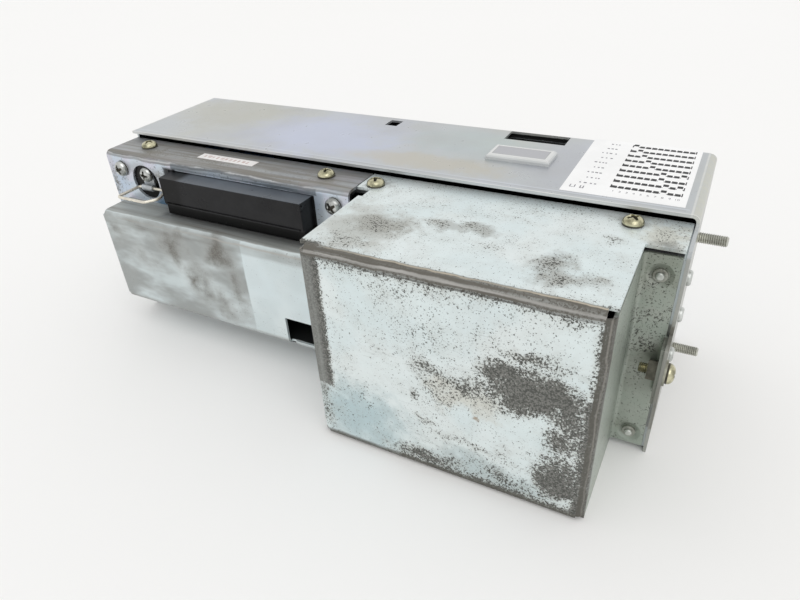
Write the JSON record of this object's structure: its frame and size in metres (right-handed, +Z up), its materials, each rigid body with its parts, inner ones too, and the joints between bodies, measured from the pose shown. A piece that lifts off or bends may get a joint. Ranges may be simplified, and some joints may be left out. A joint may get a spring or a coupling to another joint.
{
  "type": "control unit",
  "caption": "Zinc-plated sheet-steel control unit with a deeper power box, a multi-way connector with a wire bail, setting switches under the cover and stud mounts.",
  "frame": {"origin": "middle of the footprint, on the surface that the unit stands on", "axes": "+X runs along the unit to the end plate with the mounting studs, -Y is the front with the connector and the power box, +Z is up"},
  "size_m": [0.28, 0.1302, 0.0967],
  "materials": {
    "cover_zinc": "dull zinc-plated steel sheet with a faint yellow and violet tint",
    "chassis_zinc": "blue-white zinc-plated steel sheet",
    "frame_zinc": "zinc-plated steel sheet, handled brown-grey on top",
    "lower_zinc": "blue-white zinc-plated steel sheet, worn grey in patches",
    "box_zinc": "pale blue-white zinc-plated steel sheet, worn grey at edges and in patches",
    "connector_black": "glossy black moulded plastic",
    "contact_gold": "gold-flashed brass",
    "bracket_steel": "plated steel",
    "bail_steel": "bright drawn spring wire",
    "yellow_zinc": "pale yellow-passivated zinc on steel",
    "silver_zinc": "clear zinc on steel",
    "dark_steel": "dull dark grey plated steel",
    "stud_steel": "plated steel",
    "clear_plastic": "clear moulded plastic",
    "label_white": "white printed label",
    "switch_black": "matt black moulded plastic",
    "slider_white": "white moulded plastic",
    "board_green": "green solder resist on fibreglass board",
    "relay_blue": "blue moulded plastic",
    "terminal_grey": "grey moulded plastic",
    "capacitor_sleeve": "dark blue shrink sleeve",
    "sink_aluminium": "extruded aluminium",
    "fuse_glass": "glass tube with metal caps",
    "core_steel": "varnished steel laminations",
    "winding_tape": "yellow insulating tape over copper winding"
  },
  "bodies": {
    "root": {"top_cover": "cover_zinc", "chassis": "chassis_zinc", "front_frame": "frame_zinc", "lower_front_cover": "lower_zinc", "box_cover": "box_zinc", "connector_housing": "connector_black", "connector_contacts": "contact_gold", "connector_cap": "connector_black", "bail_bracket": "bracket_steel", "bail_screw": "silver_zinc", "flange_screws": "yellow_zinc", "front_screws": "silver_zinc", "lower_cover_screws": "silver_zinc", "back_screws": "yellow_zinc", "box_studs": "stud_steel", "box_collars": "dark_steel", "clamp_screw": "yellow_zinc", "clamp_washer": "yellow_zinc", "clamp_nut": "dark_steel", "mounting_studs": "stud_steel", "end_rivets": "stud_steel", "clear_pad": "clear_plastic", "setting_label": "label_white", "front_tag": "label_white", "dip_switch_body": "switch_black", "switch_board": "board_green", "switch_header": "switch_black", "main_board": "board_green", "main_pillars": "bracket_steel", "main_board_screws": "silver_zinc", "processor_chip": "switch_black", "memory_chip": "switch_black", "relays": "relay_blue", "terminal_block": "terminal_grey", "power_board": "board_green", "power_pillars": "bracket_steel", "power_board_screws": "silver_zinc", "smoothing_capacitors": "capacitor_sleeve", "heat_sink": "sink_aluminium", "regulator": "switch_black", "fuse_link": "fuse_glass", "fuse_clips": "contact_gold", "transformer_core": "core_steel", "transformer_winding": "winding_tape", "transformer_bracket": "bracket_steel"},
    "bail": {"bail_wire": "bail_steel"},
    "setting_1": {"dip_slider_1": "slider_white"},
    "setting_2": {"dip_slider_2": "slider_white"},
    "setting_3": {"dip_slider_3": "slider_white"},
    "setting_4": {"dip_slider_4": "slider_white"},
    "setting_5": {"dip_slider_5": "slider_white"},
    "setting_6": {"dip_slider_6": "slider_white"},
    "setting_7": {"dip_slider_7": "slider_white"},
    "setting_8": {"dip_slider_8": "slider_white"},
    "setting_9": {"dip_slider_9": "slider_white"},
    "setting_10": {"dip_slider_10": "slider_white"}
  },
  "joints": [
    {"name": "bail_swing", "type": "hinge", "parent": "root", "child": "bail", "pos_m": [-0.114, -0.022, 0.0756], "axis": [-1, 0, 0], "range_deg": [-28, 78]},
    {"name": "setting_1_slide", "type": "slide", "parent": "root", "child": "setting_1", "axis": [0, 1, 0], "range_m": [0, 0.0016]},
    {"name": "setting_2_slide", "type": "slide", "parent": "root", "child": "setting_2", "axis": [0, 1, 0], "range_m": [0, 0.0016]},
    {"name": "setting_3_slide", "type": "slide", "parent": "root", "child": "setting_3", "axis": [0, 1, 0], "range_m": [0, 0.0016]},
    {"name": "setting_4_slide", "type": "slide", "parent": "root", "child": "setting_4", "axis": [0, 1, 0], "range_m": [0, 0.0016]},
    {"name": "setting_5_slide", "type": "slide", "parent": "root", "child": "setting_5", "axis": [0, 1, 0], "range_m": [0, 0.0016]},
    {"name": "setting_6_slide", "type": "slide", "parent": "root", "child": "setting_6", "axis": [0, 1, 0], "range_m": [0, 0.0016]},
    {"name": "setting_7_slide", "type": "slide", "parent": "root", "child": "setting_7", "axis": [0, 1, 0], "range_m": [0, 0.0016]},
    {"name": "setting_8_slide", "type": "slide", "parent": "root", "child": "setting_8", "axis": [0, 1, 0], "range_m": [0, 0.0016]},
    {"name": "setting_9_slide", "type": "slide", "parent": "root", "child": "setting_9", "axis": [0, 1, 0], "range_m": [0, 0.0016]},
    {"name": "setting_10_slide", "type": "slide", "parent": "root", "child": "setting_10", "axis": [0, 1, 0], "range_m": [0, 0.0016]}
  ]
}
